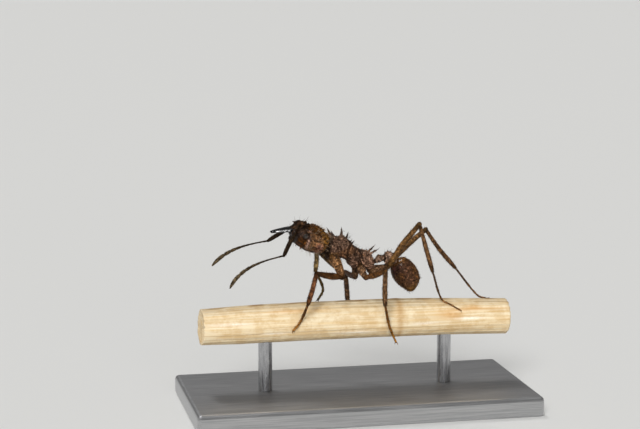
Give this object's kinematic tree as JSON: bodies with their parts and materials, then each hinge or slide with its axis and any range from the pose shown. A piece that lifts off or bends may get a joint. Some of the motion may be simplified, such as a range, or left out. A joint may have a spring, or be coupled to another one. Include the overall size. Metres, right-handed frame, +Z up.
{
  "type": "leafcutter ant worker",
  "caption": "Spiny dark brown leafcutter ant worker standing on a short cut length of dry stem, held over a flat base by short rods.",
  "frame": {"origin": "on the floor, at the middle of the stand base's underside", "axes": "+Z up; the stem lies along X and the ant faces -X, with its left side towards -Y"},
  "size_m": [0.0172, 0.0084, 0.0097],
  "materials": {
    "cuticle_brown": "rough, pitted, finely haired brown cuticle",
    "leg_brown": "satin brown cuticle with darker edges",
    "tarsus_amber": "translucent-looking amber cuticle",
    "feeler_brown": "satin dark brown cuticle, downy at the club",
    "glossy_black": "polished black",
    "dry_stem": "dry pale straw with lengthwise fibres",
    "stand_plate": "satin brushed",
    "stand_rod": "polished pin"
  },
  "bodies": {
    "root": {"head": "cuticle_brown", "eye_left": "glossy_black", "eye_right": "glossy_black", "mandible_left": "glossy_black", "mandible_right": "glossy_black", "antenna_scape_left": "feeler_brown", "antenna_scape_right": "feeler_brown", "antenna_flagellum_left": "feeler_brown", "antenna_flagellum_right": "feeler_brown", "pronotum": "cuticle_brown", "mesothorax": "cuticle_brown", "propodeum": "cuticle_brown", "petiole": "cuticle_brown", "postpetiole": "cuticle_brown", "gaster": "cuticle_brown", "gaster_tip": "cuticle_brown", "leg_fore_left_coxa": "leg_brown", "leg_fore_left_femur": "leg_brown", "leg_fore_left_tibia": "leg_brown", "leg_fore_left_tarsus": "tarsus_amber", "leg_fore_right_coxa": "leg_brown", "leg_fore_right_femur": "leg_brown", "leg_fore_right_tibia": "leg_brown", "leg_fore_right_tarsus": "tarsus_amber", "leg_mid_left_coxa": "leg_brown", "leg_mid_left_femur": "leg_brown", "leg_mid_left_tibia": "leg_brown", "leg_mid_left_tarsus": "tarsus_amber", "leg_mid_right_coxa": "leg_brown", "leg_mid_right_femur": "leg_brown", "leg_mid_right_tibia": "leg_brown", "leg_mid_right_tarsus": "tarsus_amber", "leg_hind_left_coxa": "leg_brown", "leg_hind_left_femur": "leg_brown", "leg_hind_left_tibia": "leg_brown", "leg_hind_left_tarsus": "tarsus_amber", "leg_hind_right_coxa": "leg_brown", "leg_hind_right_femur": "leg_brown", "leg_hind_right_tibia": "leg_brown", "leg_hind_right_tarsus": "tarsus_amber", "perch_stem": "dry_stem", "stand_base": "stand_plate", "stand_rod_left": "stand_rod", "stand_rod_right": "stand_rod"}
  },
  "joints": []
}
